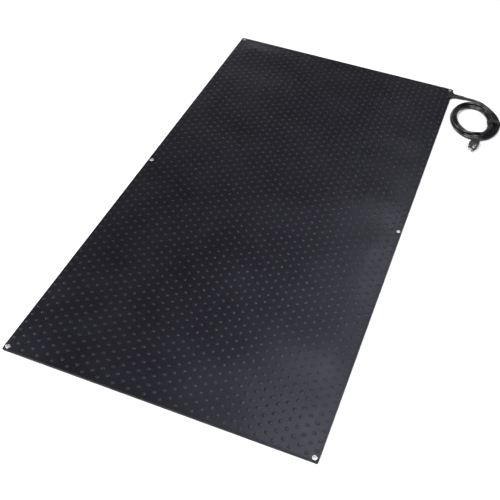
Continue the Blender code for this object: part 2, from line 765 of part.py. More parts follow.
RUBBER = new_material("black_rubber", (0.018, 0.018, 0.022), 0.6)
GLASS_FIBRE = new_material("glass_fibre_scrim", (0.75, 0.73, 0.66), 0.8)
NICHROME = new_material("insulated_heating_wire", (0.32, 0.05, 0.03), 0.5)
FOIL = new_material("aluminium_foil", (0.8, 0.8, 0.8), 0.35, 1.0)
COPPER = new_material("tinned_copper", (0.75, 0.7, 0.62), 0.35, 1.0)
LEAD_BLACK = new_material("black_lead", (0.02, 0.02, 0.02), 0.5)
LEAD_WHITE = new_material("white_lead", (0.75, 0.75, 0.72), 0.5)
LEAD_GREEN = new_material("green_lead", (0.03, 0.25, 0.08), 0.5)
NICKEL = new_material("nickel_plated_brass", (0.78, 0.77, 0.75), 0.25, 1.0)
MOULDED = new_material("moulded_pvc", (0.012, 0.012, 0.014), 0.4)
CORD_PVC = new_material("cord_pvc", (0.010, 0.010, 0.012), 0.3)
STRAP = new_material("hook_and_loop_strap", (0.012, 0.012, 0.014), 0.9)
INSERT = new_material("plug_insert_plastic", (0.03, 0.03, 0.033), 0.5)
BRASS = new_material("plated_blade", (0.8, 0.77, 0.7), 0.25, 1.0)

exit_frame = add_frame("exit_frame", (MAT_EDGE, RELIEF_Y, 0.0))
coil_frame = add_frame("coil_frame", (*COIL_MIDDLE, 0.0), COIL_TILT, exit_frame)
plug_frame = add_frame("plug_frame", (*PLUG_NECK_START, PLUG_HEIGHT / 2), PLUG_HEADING, exit_frame)

build_base_sheet()
layer("wire_carrier", SCRIM_BOTTOM, SCRIM_THICKNESS, GLASS_FIBRE)
build_heating_wire()
layer("ground_screen", SCREEN_BOTTOM, SCREEN_THICKNESS, FOIL)
build_leads()
build_ground_tab()
build_top_sheet()
build_eyelets()
build_strain_relief()
build_cord_lead(exit_frame)
build_cord_coil(coil_frame)
build_coil_tie(coil_frame)
build_cord_tail(exit_frame)
build_plug_body(plug_frame)
build_plug_insert(plug_frame)
build_blades(plug_frame)
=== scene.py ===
import math

import bmesh
import bpy
import numpy as np
from mathutils import Matrix, Vector


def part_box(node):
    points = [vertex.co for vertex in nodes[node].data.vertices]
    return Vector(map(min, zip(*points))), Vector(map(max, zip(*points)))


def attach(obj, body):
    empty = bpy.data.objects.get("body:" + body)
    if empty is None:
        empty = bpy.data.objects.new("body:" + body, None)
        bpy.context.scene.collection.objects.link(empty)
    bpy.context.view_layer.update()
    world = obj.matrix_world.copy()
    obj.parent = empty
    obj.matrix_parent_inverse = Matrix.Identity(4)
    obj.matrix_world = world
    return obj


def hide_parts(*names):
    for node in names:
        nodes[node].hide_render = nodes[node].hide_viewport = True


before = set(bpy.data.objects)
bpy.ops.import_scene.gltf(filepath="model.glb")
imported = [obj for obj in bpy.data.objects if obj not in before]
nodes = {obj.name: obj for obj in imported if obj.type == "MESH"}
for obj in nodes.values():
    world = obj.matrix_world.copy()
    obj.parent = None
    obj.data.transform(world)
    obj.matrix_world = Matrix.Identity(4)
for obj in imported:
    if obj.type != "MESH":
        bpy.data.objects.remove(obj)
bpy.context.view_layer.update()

# Sizes in metres. The mat's own come from the frame.
MAT_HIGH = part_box("base_sheet")[1]
TOP_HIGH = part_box("top_sheet")[1]
HALF_X = MAT_HIGH[0]
HALF_Y = MAT_HIGH[1]
STUD_HEIGHT = 0.0005
FIELD = TOP_HIGH[2] - STUD_HEIGHT  # the sheet's face between its studs
CORNER = 0.003
EDGE_ROUND = 0.0008
SKIN_BOTTOM = 0.00368  # the upper skin's underside, just over the lower sheet's rim
WELD_MARGIN = 0.020
BASE_FLOOR = 0.0012
EYELET_HOLE = 0.0037  # radius through both sheets
WASHER_RECESS = 0.0051  # radius of the recess under the mat
RECESS_TOP = 0.0015
CUT_PAST = 0.001

STRIPS = 40  # columns of studs, across the mat
ROWS = 59  # studs in a full column
# Radius and height above the field
STUD_RINGS = ((0.0045, 0.0), (0.0039, 0.0), (0.0031, 0.00024), (0.0018, 0.00043))
STUD_STEPS = 12
EYELET_CLEAR = 0.0090  # no stud's middle is nearer to an eyelet's than this

# Long soft waves in the upper skin: wavelength, direction in degrees, height and phase
WAVES = (
    (0.310, 62, 0.0004, 0.4),
    (0.210, 118, 0.0011, 2.1),
    (0.145, 84, 0.0009, 4.0),
    (0.105, 35, 0.0002, 1.2),
    (0.440, 8, 0.0003, 5.1),
)
WAVE_FADE = 0.050

# Cord: its lead's points repeat the ones that the CAD's tube follows
CORD_DIAMETER = 0.0070
CORD_RADIUS = CORD_DIAMETER / 2
CORD_EXIT = (0.3390, 0.5812, 0.0047)
CORD_LEAD = (
    (0.3445, 0.5812, 0.0047),
    (0.3510, 0.5818, 0.0044),
    (0.3580, 0.5825, 0.0040),
    (0.3660, 0.5826, 0.0037),
    (0.3745, 0.5814, 0.0037),
    (0.3830, 0.5787, 0.0037),
    (0.3905, 0.5748, 0.0037),
)
CORD_LOW = 0.0037  # height of the cord's middle where it lies on the floor
LEAD_HELD = 5  # of the lead's points, how many stay where they are while the coil settles
COIL_MIDDLE = (0.3835, 0.4906)
COIL_SEMI = (0.0629, 0.0818)
COIL_TILT = math.radians(10)
HOLE_MIDDLE = (-0.00805, -0.00244)  # in the coil's own axes
HOLE_SEMI = (0.0402, 0.0570)
COIL_START = 48.0  # degrees round the coil where the lead joins it
EASE_ROOM = 0.0014  # how far easing the bends draws the turns in
SETTLE_SPACING = 0.003  # between the cord's points while it settles
CORD_SPACING = 0.0027  # and when it is made
LANE = 0.0071  # from one turn's middle to the next one's
TAIL_STEPS = (0.036, 0.026, 0.016, 0.008, 0.003, 0.0)  # back from the plug's neck
TAIL_RISE = 0.0009
TAIL_SLOPE = 0.08

# How the turns lie: degrees travelled, lanes in from the outermost one, and height
WINDING = (
    (12, 0.0, 0.0037),
    (278, 0.0, 0.0037),
    (360, 1.0, 0.0037),
    (638, 1.0, 0.0037),
    (720, 2.0, 0.0037),
    (848, 2.0, 0.0037),
    (885, 1.8, 0.0060),
    (918, 1.45, 0.0100),
    (948, 1.3, 0.0108),
    (985, 1.2, 0.0108),
    (1020, 1.8, 0.0095),
    (1060, 2.7, 0.0045),
    (1085, 3.0, 0.0037),
    (1140, 3.1, 0.0037),
    (1170, 2.95, 0.0045),
    (1200, 2.55, 0.0090),
    (1240, 1.7, 0.0108),
    (1280, 0.8, 0.0108),
    (1320, 0.15, 0.0108),
    (1360, 0.2, 0.0108),
    (1395, 0.9, 0.0108),
    (1440, 2.1, 0.0102),
    (1488, 2.5, 0.0100),
    (1508, 2.55, 0.0103),
)

# Strap round the coil, in the coil's own axes
STRAP_WIDTH = 0.014
STRAP_THICKNESS = 0.0009
STRAP_LIFT = 0.0011  # how far the turns are held up where the strap runs under them
LIFT_REACH = 0.026  # how far to each side of the strap the turns are held up
LIFT_SLOPE = 0.018
STRAP_ROOM = 0.0001  # between the cord and the strap
FIN_LENGTH = 0.0130
FIN_THICKNESS = 0.0022
FIN_HEIGHT = 0.0075

# Plug, along its own axes: out of its face, sideways and up
PLUG_NECK = (0.4025, 0.4050, 0.0095)
PLUG_HEADING = math.radians(-103)
PLUG_FACE = 0.0305
BLADE_SIDE = 0.0056
BLADE_SPACING = 0.0127
BLADE_WIDTH = 0.00635
BLADE_THICKNESS = 0.0015
BLADE_LENGTH = 0.0160
BLADE_HOLE = 0.0016
BLADE_HOLE_BACK = 0.0042  # from the tip to the hole's middle
BLADE_BEVEL = 0.00018
PIN_SIDE = BLADE_SIDE - 0.0119
PIN_RADIUS = 0.0024
PIN_LENGTH = 0.0190

RELIEF_Y = 0.580

FLOOR_RADIUS = 2.5
FLOOR_STEPS = 128
FLOOR_GAP = 0.0002  # under the object, so that no two faces lie in one plane

CAMERA_PLACE = (0.3870, -1.3236, 1.1934)
CAMERA_TURN = (45.069, -3.119, 20.935)
CAMERA_LENS = 57.74
CAMERA_SENSOR = 36.0

# Area lights: name, place, what they point at, size and power
LIGHTS = (
    ("softbox", (0.18, 0.70, 2.2), (0.3, -0.6, 0.0), (0.7, 0.6), 9.0),
    ("small_softbox", (0.25, 2.1, 2.2), (0.27, -0.1, 0.0), (0.4, 0.3), 4.4),
    ("front_left", (-1.3, -1.7, 3.4), (0.0, 0.0, 0.0), (2.0, 1.6), 105.0),
    ("front_right", (1.8, -1.2, 3.4), (0.1, 0.1, 0.0), (2.0, 1.6), 105.0),
    ("left", (-2.5, 0.3, 1.5), (0.3, 0.5, 0.0), (1.0, 1.0), 30.0),
    ("low_back", (-1.3, 3.0, 0.55), (0.33, 0.5, 0.0), (0.8, 0.35), 2.4),
)


# Camera


def make_camera():
    data = bpy.data.cameras.new("camera")
    data.lens = CAMERA_LENS
    data.sensor_width = CAMERA_SENSOR
    camera = bpy.data.objects.new("camera", data)
    camera.location = CAMERA_PLACE
    camera.rotation_euler = [math.radians(a) for a in CAMERA_TURN]
    bpy.context.scene.collection.objects.link(camera)
    bpy.context.scene.camera = camera


make_camera()


# Cord


def coil_to_world(u, v):
    c, s = math.cos(COIL_TILT), math.sin(COIL_TILT)
    return COIL_MIDDLE[0] + u * c - v * s, COIL_MIDDLE[1] + u * s + v * c


def world_to_coil(x, y):
    c, s = math.cos(COIL_TILT), math.sin(COIL_TILT)
    dx, dy = x - COIL_MIDDLE[0], y - COIL_MIDDLE[1]
    return dx * c + dy * s, -dx * s + dy * c


def lane_place(travel, lane, height):
    """A point of the coil, some lanes in from its outermost turn, along the oval's own normal."""
    angle = math.radians(COIL_START - travel)
    a, b = COIL_SEMI[0] - CORD_RADIUS, COIL_SEMI[1] - CORD_RADIUS
    normal_u, normal_v = math.cos(angle) / a, math.sin(angle) / b
    size = math.hypot(normal_u, normal_v)
    u = a * math.cos(angle) - lane * LANE * normal_u / size
    v = b * math.sin(angle) - lane * LANE * normal_v / size
    return (*coil_to_world(u, v), height)


def rough_route():
    """The lead, the turns and the way over them to the plug's neck."""
    keys = np.array(WINDING)
    travel = np.arange(keys[0, 0], keys[-1, 0] + 1, 8.0)
    lanes = np.interp(travel, keys[:, 0], keys[:, 1])
    heights = np.interp(travel, keys[:, 0], keys[:, 2])
    turns = [lane_place(*row) for row in zip(travel, lanes, heights)]
    out = (math.cos(PLUG_HEADING), math.sin(PLUG_HEADING))
    tail = [
        (
            PLUG_NECK[0] - out[0] * back,
            PLUG_NECK[1] - out[1] * back,
            PLUG_NECK[2] + min(TAIL_RISE, TAIL_SLOPE * back),
        )
        for back in TAIL_STEPS
    ]
    return np.array([CORD_EXIT, *CORD_LEAD, *turns, *tail])


def resample(points, spacing):
    """Even steps along a smooth curve through the points."""
    before = np.vstack([2 * points[0] - points[1], points[:-1]])
    after = np.vstack([points[1:], 2 * points[-1] - points[-2]])
    t = np.linspace(0, 1, 12, endpoint=False)[:, None]
    fine = []
    for p0, p1, p2, p3 in zip(before[:-1], points[:-1], points[1:], after[1:]):
        cubic = -p0 + 3 * p1 - 3 * p2 + p3
        square = 2 * p0 - 5 * p1 + 4 * p2 - p3
        fine.append(0.5 * (2 * p1 + (p2 - p0) * t + square * t**2 + cubic * t**3))
    fine = np.vstack([*fine, points[-1:]])
    along = np.concatenate([[0.0], np.cumsum(np.linalg.norm(np.diff(fine, axis=0), axis=1))])
    goal = np.linspace(0, along[-1], round(along[-1] / spacing) + 1)
    return np.stack([np.interp(goal, along, fine[:, k]) for k in range(3)], axis=1)


def floor_under(p):
    """The lowest height for the cord's middle: the floor, or the strap where that runs underneath."""
    u, v = world_to_coil(p[:, 0], p[:, 1])
    share = np.clip((LIFT_REACH - np.abs(v)) / LIFT_SLOPE, 0.0, 1.0) * (u > 0)
    return CORD_LOW + STRAP_LIFT * share * share * (3 - 2 * share)


def keep_in_oval(u, v, held, semi, middle, inside, strength):
    """Moves points that are past an oval's line back towards it."""
    du, dv = u - middle[0], v - middle[1]
    ratio = np.maximum(np.hypot(du / semi[0], dv / semi[1]), 0.2)
    wrong = held & ((ratio > 1) if inside else (ratio < 1))
    scale = np.where(wrong, 1 + (1 / ratio - 1) * strength, 1.0)
    return middle[0] + du * scale, middle[1] + dv * scale


def settle(p, steps=420, sink=0.00006):
    """Lets the turns sink on to the floor and on to each other, at a fixed length and without touching."""
    count = len(p)
    rest = np.linalg.norm(np.diff(p, axis=0), axis=1).mean()
    lead_end = int(np.argmin(np.linalg.norm(p - np.array(CORD_LEAD[LEAD_HELD - 1]), axis=1)))
    held = np.zeros(count, bool)
    held[: lead_end + 1] = True
    held[-4:] = True
    fixed = p[held].copy()
    walled = np.ones(count, bool)
    walled[: lead_end + 18] = False
    walled[-round(0.065 / rest) :] = False
    bend = np.zeros_like(p)
    bend[1:-1] = p[1:-1] - (p[:-2] + p[2:]) / 2
    for _ in range(10):
        bend[1:-1] = (bend[:-2] + bend[1:-1] * 2 + bend[2:]) / 4
    bend[:, 2] = 0
    first, second = np.triu_indices(count, 4)
    apart = CORD_DIAMETER * 1.012
    outer = (COIL_SEMI[0] - CORD_RADIUS + EASE_ROOM, COIL_SEMI[1] - CORD_RADIUS + EASE_ROOM)
    inner = (HOLE_SEMI[0] + CORD_RADIUS, HOLE_SEMI[1] + CORD_RADIUS)
    for step in range(steps):
        if step % 20 == 0:
            gap = p[second] - p[first]
            near = (gap * gap).sum(1) < (2 * apart) ** 2
            i, j = first[near], second[near]
        p[:, 2] -= sink * (1 - step / steps)
        p[1:-1] += 0.25 * ((p[:-2] + p[2:]) / 2 + bend[1:-1] - p[1:-1])
        for _ in range(3):
            gap = p[j] - p[i]
            distance = np.sqrt((gap * gap).sum(1))
            hit = distance < apart
            push = gap[hit] / distance[hit, None] * (apart - distance[hit, None]) * 0.18
            move = np.zeros_like(p)
            np.add.at(move, i[hit], -push)
            np.add.at(move, j[hit], push)
            p += move
            p[:, 2] = np.maximum(p[:, 2], floor_under(p))
            u, v = world_to_coil(p[:, 0], p[:, 1])
            u, v = keep_in_oval(u, v, walled, outer, (0.0, 0.0), True, 1.0)
            u, v = keep_in_oval(u, v, walled, inner, HOLE_MIDDLE, False, 0.3)
            p[:, 0], p[:, 1] = coil_to_world(u, v)
            for start in (0, 1):
                a, b = p[start:-1:2], p[start + 1 :: 2]
                a = a[: len(b)]
                stretch = b - a
                size = np.linalg.norm(stretch, axis=1, keepdims=True)
                fix = stretch * (1 - rest / size) * 0.5
                a += fix
                b -= fix
            p[held] = fixed
    return p


def ease(p, passes=14):
    """Takes the last sharpness out of the bends."""
    for _ in range(passes):
        p[1:-1] += 0.25 * (p[:-2] + p[2:] - 2 * p[1:-1])
    return p


def route_length(p):
    return float(np.linalg.norm(np.diff(p, axis=0), axis=1).sum())


cord_route = ease(settle(resample(rough_route(), SETTLE_SPACING)))
cord_route = resample(cord_route, CORD_SPACING)


def make_cord():
    curve = bpy.data.curves.new("power_cord", "CURVE")
    curve.dimensions = "3D"
    curve.bevel_depth = CORD_RADIUS
    curve.bevel_resolution = 6
    curve.use_fill_caps = True
    spline = curve.splines.new("POLY")
    spline.points.add(len(cord_route) - 1)
    for point, place in zip(spline.points, cord_route):
        point.co = (*place, 1.0)
    cord = bpy.data.objects.new("power_cord", curve)
    bpy.context.scene.collection.objects.link(cord)
    return cord


power_cord = make_cord()


# Materials: each one is made of noise, at a scale that suits its surface


def surface(name, dark, light, roughness, grain=0.0004, relief=0.00003, patch=0.05, **shader_values):
    """A material whose colour, roughness and relief all vary: fine grain, and softer large patches."""
    material = bpy.data.materials.new(name)
    material.use_nodes = True
    tree = material.node_tree
    shader = tree.nodes["Principled BSDF"]
    for key, value in shader_values.items():
        shader.inputs[key.replace("_", " ")].default_value = value
    place = tree.nodes.new("ShaderNodeTexCoord").outputs["Object"]

    def noise(size, detail):
        node = tree.nodes.new("ShaderNodeTexNoise")
        node.inputs["Scale"].default_value = 1.0 / size
        node.inputs["Detail"].default_value = detail
        tree.links.new(place, node.inputs["Vector"])
        return node.outputs["Fac"]

    fine, soft = noise(grain, 3.0), noise(patch, 4.0)
    both = tree.nodes.new("ShaderNodeMath")
    both.operation = "MULTIPLY_ADD"
    both.inputs[1].default_value = 0.45
    tree.links.new(fine, both.inputs[0])
    half = tree.nodes.new("ShaderNodeMath")
    half.operation = "MULTIPLY"
    half.inputs[1].default_value = 0.55
    tree.links.new(soft, half.inputs[0])
    tree.links.new(half.outputs[0], both.inputs[2])
    ramp = tree.nodes.new("ShaderNodeValToRGB")
    ramp.color_ramp.elements[0].position = 0.34
    ramp.color_ramp.elements[0].color = (*dark, 1.0)
    ramp.color_ramp.elements[1].position = 0.66
    ramp.color_ramp.elements[1].color = (*light, 1.0)
    tree.links.new(both.outputs[0], ramp.inputs["Fac"])
    tree.links.new(ramp.outputs["Color"], shader.inputs["Base Color"])
    spread = tree.nodes.new("ShaderNodeMapRange")
    spread.inputs["From Min"].default_value = 0.3
    spread.inputs["From Max"].default_value = 0.7
    spread.inputs["To Min"].default_value = roughness[0]
    spread.inputs["To Max"].default_value = roughness[1]
    tree.links.new(both.outputs[0], spread.inputs["Value"])
    tree.links.new(spread.outputs["Result"], shader.inputs["Roughness"])
    bump = tree.nodes.new("ShaderNodeBump")
    bump.inputs["Distance"].default_value = relief
    bump.inputs["Strength"].default_value = 1.0
    tree.links.new(fine, bump.inputs["Height"])
    tree.links.new(bump.outputs["Normal"], shader.inputs["Normal"])
    return material


def mix_over(material, factor_socket, color, low=0.0, high=1.0):
    """Mixes a colour over a material's own, as far as a 0 to 1 value says."""
    tree = material.node_tree
    shader = tree.nodes["Principled BSDF"]
    under = shader.inputs["Base Color"].links[0].from_socket
    reach = tree.nodes.new("ShaderNodeMapRange")
    reach.inputs["To Min"].default_value = low
    reach.inputs["To Max"].default_value = high
    tree.links.new(factor_socket, reach.inputs["Value"])
    mix = tree.nodes.new("ShaderNodeMix")
    mix.data_type = "RGBA"
    mix.inputs[7].default_value = (*color, 1.0)
    tree.links.new(reach.outputs["Result"], mix.inputs[0])
    tree.links.new(under, mix.inputs[6])
    tree.links.new(mix.outputs[2], shader.inputs["Base Color"])


def studded_rubber():
    """Satin black rubber, lighter on the studs' tops as a painted highlight, and on its rounded edge as wear.
    """
    rubber = surface(
        "studded_rubber",
        (0.0028, 0.0028, 0.0040),
        (0.0068, 0.0068, 0.0090),
        (0.25, 0.38),
        0.0009,
        0.00005,
        0.14,
    )
    shader = rubber.node_tree.nodes["Principled BSDF"]
    shader.inputs["Specular IOR Level"].default_value = 0.38
    shader.inputs["Specular Tint"].default_value = (0.78, 0.80, 1.0, 1.0)
    tree = rubber.node_tree
    # Painted highlight: the studs' tops are lightened as if lit from above, and the mat's rounded edge is
    # lightened as wear. Noise makes both uneven.
    highlight_and_abrasion = tree.nodes.new("ShaderNodeAttribute")
    highlight_and_abrasion.attribute_name = "highlight_and_abrasion"
    highlight_and_abrasion_noise = tree.nodes.new("ShaderNodeTexNoise")
    highlight_and_abrasion_noise.inputs["Scale"].default_value = 420.0
    highlight_and_abrasion_noise.inputs["Detail"].default_value = 5.0
    tree.links.new(tree.nodes["Texture Coordinate"].outputs["Object"], highlight_and_abrasion_noise.inputs["Vector"])
    highlight_and_abrasion_mix = tree.nodes.new("ShaderNodeMath")
    highlight_and_abrasion_mix.operation = "MULTIPLY"
    tree.links.new(highlight_and_abrasion.outputs["Fac"], highlight_and_abrasion_mix.inputs[0])
    tree.links.new(highlight_and_abrasion_noise.outputs["Fac"], highlight_and_abrasion_mix.inputs[1])
    # The light tone that the painted stud-top highlight and the edge wear mix towards.
    mix_over(rubber, highlight_and_abrasion_mix.outputs[0], (0.030, 0.030, 0.038))
    return rubber


def cloth_backed_rubber():
    """The lower sheet: duller, with the weave that it was pressed against."""
    rubber = surface(
        "backing_rubber", (0.012, 0.012, 0.014), (0.021, 0.021, 0.024), (0.55, 0.70), 0.0012, 0.00005
    )
    tree = rubber.node_tree
    place = tree.nodes.new("ShaderNodeTexCoord").outputs["Object"]
    bump = next(n for n in tree.nodes if n.bl_idname == "ShaderNodeBump")
    total = bump.inputs["Height"].links[0].from_socket
    for direction in ("X", "Y"):
        wave = tree.nodes.new("ShaderNodeTexWave")
        wave.bands_direction = direction
        wave.inputs["Scale"].default_value = 160.0
        wave.inputs["Distortion"].default_value = 0.6
        tree.links.new(place, wave.inputs["Vector"])
        add = tree.nodes.new("ShaderNodeMath")
        add.operation = "ADD"
        tree.links.new(total, add.inputs[0])
        tree.links.new(wave.outputs["Fac"], add.inputs[1])
        total = add.outputs[0]
    tree.links.new(total, bump.inputs["Height"])
    return rubber


RUBBER = studded_rubber()
BACKING = cloth_backed_rubber()
CORD_PVC = surface(
    "cord_pvc", (0.0018, 0.0018, 0.0024), (0.0046, 0.0046, 0.0056), (0.16, 0.26), 0.0016, 0.000015, 0.03
)
CORD_PVC.node_tree.nodes["Principled BSDF"].inputs["Specular IOR Level"].default_value = 0.7
MOULDED = surface(
    "moulded_pvc", (0.0045, 0.0048, 0.0055), (0.0090, 0.0094, 0.0105), (0.34, 0.46), 0.0005, 0.00003, 0.012
)
INSERT = surface(
    "plug_insert", (0.020, 0.021, 0.022), (0.034, 0.035, 0.036), (0.40, 0.55), 0.0004, 0.00002, 0.01
)
NICKEL = surface(
    "nickel", (0.50, 0.49, 0.48), (0.66, 0.65, 0.64), (0.16, 0.34), 0.0005, 0.000006, 0.004, Metallic=1.0
)
BLADE = surface(
    "blade_metal", (0.62, 0.60, 0.55), (0.80, 0.78, 0.73), (0.18, 0.34), 0.0006, 0.000006, 0.006, Metallic=1.0
)
STRAP = surface("strap", (0.004, 0.004, 0.005), (0.014, 0.014, 0.016), (0.75, 0.95), 0.0005, 0.00022, 0.006)
SCRIM = surface("glass_scrim", (0.60, 0.58, 0.50), (0.80, 0.78, 0.70), (0.7, 0.9), 0.0012, 0.00008, 0.02)
WIRE = surface("wire_silicone", (0.24, 0.035, 0.022), (0.36, 0.06, 0.035), (0.4, 0.6), 0.0006, 0.00002, 0.02)
FOIL = surface(
    "aluminium_foil", (0.70, 0.70, 0.71), (0.86, 0.86, 0.87), (0.2, 0.42), 0.003, 0.0001, 0.03, Metallic=1.0
)
TINNED = surface(
    "tinned_copper", (0.62, 0.57, 0.50), (0.80, 0.76, 0.70), (0.25, 0.45), 0.0004, 0.00001, Metallic=1.0
)
LEAD_BLACK = surface("lead_black", (0.010, 0.010, 0.011), (0.020, 0.020, 0.021), (0.35, 0.5), 0.0006, 0.00001)
LEAD_WHITE = surface("lead_white", (0.68, 0.68, 0.65), (0.80, 0.80, 0.77), (0.35, 0.5), 0.0006, 0.00001)
LEAD_GREEN = surface("lead_green", (0.02, 0.18, 0.06), (0.04, 0.28, 0.10), (0.35, 0.5), 0.0006, 0.00001)


# Shared mesh work


def finish_piece(piece, material, slot, *replaced):
    """A piece's material, the body it rides on and the CAD nodes that it stands for. The slot argument is not
    used.
    """
    piece.data.materials.clear()
    piece.data.materials.append(material)
    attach(piece, "root")
    if replaced:
        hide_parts(*replaced)
    return piece


def mesh_object(name, verts, faces, smooth_angle=40):
    mesh = bpy.data.meshes.new(name)
    mesh.from_pydata([tuple(v) for v in verts], [], faces)
    bm = bmesh.new()
    bm.from_mesh(mesh)
    bmesh.ops.remove_doubles(bm, verts=bm.verts, dist=0.000004)
    bmesh.ops.recalc_face_normals(bm, faces=bm.faces)
    bm.to_mesh(mesh)
    bm.free()
    mesh.shade_smooth()
    mesh.set_sharp_from_angle(angle=math.radians(smooth_angle))
    made = bpy.data.objects.new(name, mesh)
    bpy.context.scene.collection.objects.link(made)
    return made


def loft(rings, cap_start=True, cap_end=True, closed=False):
    """Faces between rings of the same number of points, as points and faces."""
    count = len(rings[0])
    verts = [tuple(v) for ring in rings for v in ring]
    faces = []
    pairs = list(zip(range(len(rings)), range(1, len(rings))))
    if closed:
        pairs.append((len(rings) - 1, 0))
    for a, b in pairs:
        for i in range(count):
            j = (i + 1) % count
            faces.append((a * count + i, a * count + j, b * count + j, b * count + i))
    if cap_start and not closed:
        faces.append(tuple(range(count))[::-1])
    if cap_end and not closed:
        faces.append(tuple((len(rings) - 1) * count + i for i in range(count)))
    return verts, faces


def revolve(profile, steps, place=Matrix()):
    """A closed outline of radius and height, turned about Z."""
    rings = []
    for step in range(steps):
        angle = 2 * math.pi * step / steps
        rings.append([place @ Vector((r * math.cos(angle), r * math.sin(angle), z)) for r, z in profile])
    return loft(rings, closed=True)


def combine(piece, verts, faces, operation="DIFFERENCE", solver="EXACT"):
    """Cuts or joins a closed shape, and leaves no modifier."""
    other = mesh_object("other", verts, faces)
    boolean = piece.modifiers.new("boolean", "BOOLEAN")
    boolean.operation = operation
    boolean.solver = solver
    boolean.object = other
    apply_modifiers(piece)
    bpy.data.objects.remove(other, do_unlink=True)


def apply_modifiers(piece):
    graph = bpy.context.evaluated_depsgraph_get()
    made = bpy.data.meshes.new_from_object(piece.evaluated_get(graph))
    piece.modifiers.clear()
    piece.data = made


# Mat: upper skin with its studs


def wave_height(x, y):
    """The skin's long waves, never below the sheet and fading to nothing at its edges."""
    total = sum(height for _, _, height, _ in WAVES)
    rise = np.zeros_like(x)
    for length, heading, height, phase in WAVES:
        along = x * math.cos(math.radians(heading)) + y * math.sin(math.radians(heading))
        rise += height * np.sin(2 * math.pi * along / length + phase)
    inside = np.minimum(HALF_X - np.abs(x), HALF_Y - np.abs(y))
    fade = np.clip(inside / WAVE_FADE, 0.0, 1.0)
    return (rise + total) / 2 * fade * fade * (3 - 2 * fade)


def round_corner(x, y):
    """Bends the square corners round."""
    dx, dy = np.abs(x) - (HALF_X - CORNER), np.abs(y) - (HALF_Y - CORNER)
    both = (dx > 0) & (dy > 0)
    size = np.where(both, np.maximum(np.hypot(dx, dy), 1e-9), 1.0)
    scale = np.where(both, np.maximum(dx, dy) / size, 1.0)
    x = np.where(both, np.sign(x) * (HALF_X - CORNER + dx * scale), x)
    y = np.where(both, np.sign(y) * (HALF_Y - CORNER + dy * scale), y)
    return x, y


def eyelet_places():
    places = []
    for number in range(1, 7):
        low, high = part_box(f"eyelet_{number}")
        places.append(((low[0] + high[0]) / 2, (low[1] + high[1]) / 2))
    return places


EYELETS = eyelet_places()


def skin_cells():
    """Each cell's middle, half length and whether it carries a stud."""
    width = 2 * (HALF_X - EDGE_ROUND) / STRIPS
    length = 2 * (HALF_Y - EDGE_ROUND) / ROWS
    start_x, start_y = -HALF_X + EDGE_ROUND, -HALF_Y + EDGE_ROUND
    for strip in range(STRIPS):
        x = start_x + (strip + 0.5) * width
        if strip % 2 == 0:
            middles = [(start_y + (row + 0.5) * length, length / 2, True) for row in range(ROWS)]
        else:
            middles = [(start_y + (row + 1) * length, length / 2, True) for row in range(ROWS - 1)]
            middles.append((start_y + length / 4, length / 4, False))
            middles.append((-start_y - length / 4, length / 4, False))
        for y, half, studded in middles:
            clear = all(math.hypot(x - ex, y - ey) > EYELET_CLEAR for ex, ey in EYELETS)
            yield x, y, width / 2, half, studded and clear


def cell_outline(x, y, half_x, half_y):
    """Points round a cell, so that a neighbour half a cell along meets them."""
    top = [(half_x, half_y), (0.0, half_y), (-half_x, half_y)]
    bottom = [(-half_x, -half_y), (0.0, -half_y), (half_x, -half_y)]
    if half_x < half_y:
        quarter = half_y * 0.5
        left = [(-half_x, quarter), (-half_x, 0.0), (-half_x, -quarter)]
        points = [(half_x, 0.0), (half_x, quarter), *top, *left, *bottom, (half_x, -quarter)]
    else:
        points = [(half_x, 0.0), *top, (-half_x, 0.0), *bottom]
    return [(x + dx, y + dy) for dx, dy in points]


def skin_surface():
    """The studded face, as points, faces and how much of a stud's top each point is, which sets its share of
    the painted highlight.
    """
    verts, faces, highlight_and_abrasion = [], [], []
    for x, y, half_x, half_y, studded in skin_cells():
        outline = cell_outline(x, y, half_x, half_y)
        base = len(verts)
        verts += [(px, py, FIELD) for px, py in outline]
        highlight_and_abrasion += [0.0] * len(outline)
        if not studded:
            faces.append(tuple(range(base, len(verts))))
            continue
        for radius, height in STUD_RINGS:
            for step in range(STUD_STEPS):
                angle = 2 * math.pi * step / STUD_STEPS
                place = (x + radius * math.cos(angle), y + radius * math.sin(angle), FIELD + height)
                verts.append(place)
                # A point's share of the painted highlight grows with its height on the stud.
                highlight_and_abrasion.append(height / STUD_HEIGHT)
        verts.append((x, y, FIELD + STUD_HEIGHT))
        highlight_and_abrasion.append(1.0)
        for ring in range(len(STUD_RINGS)):
            a = base + ring * STUD_STEPS
            b = a + STUD_STEPS
            for i in range(STUD_STEPS):
                j = (i + 1) % STUD_STEPS
                faces.append((a + i, a + j, b + j, b + i))
        top = base + len(STUD_RINGS) * STUD_STEPS
        for i in range(STUD_STEPS):
            faces.append((top + i, top + (i + 1) % STUD_STEPS, len(verts) - 1))
    return verts, faces, highlight_and_abrasion


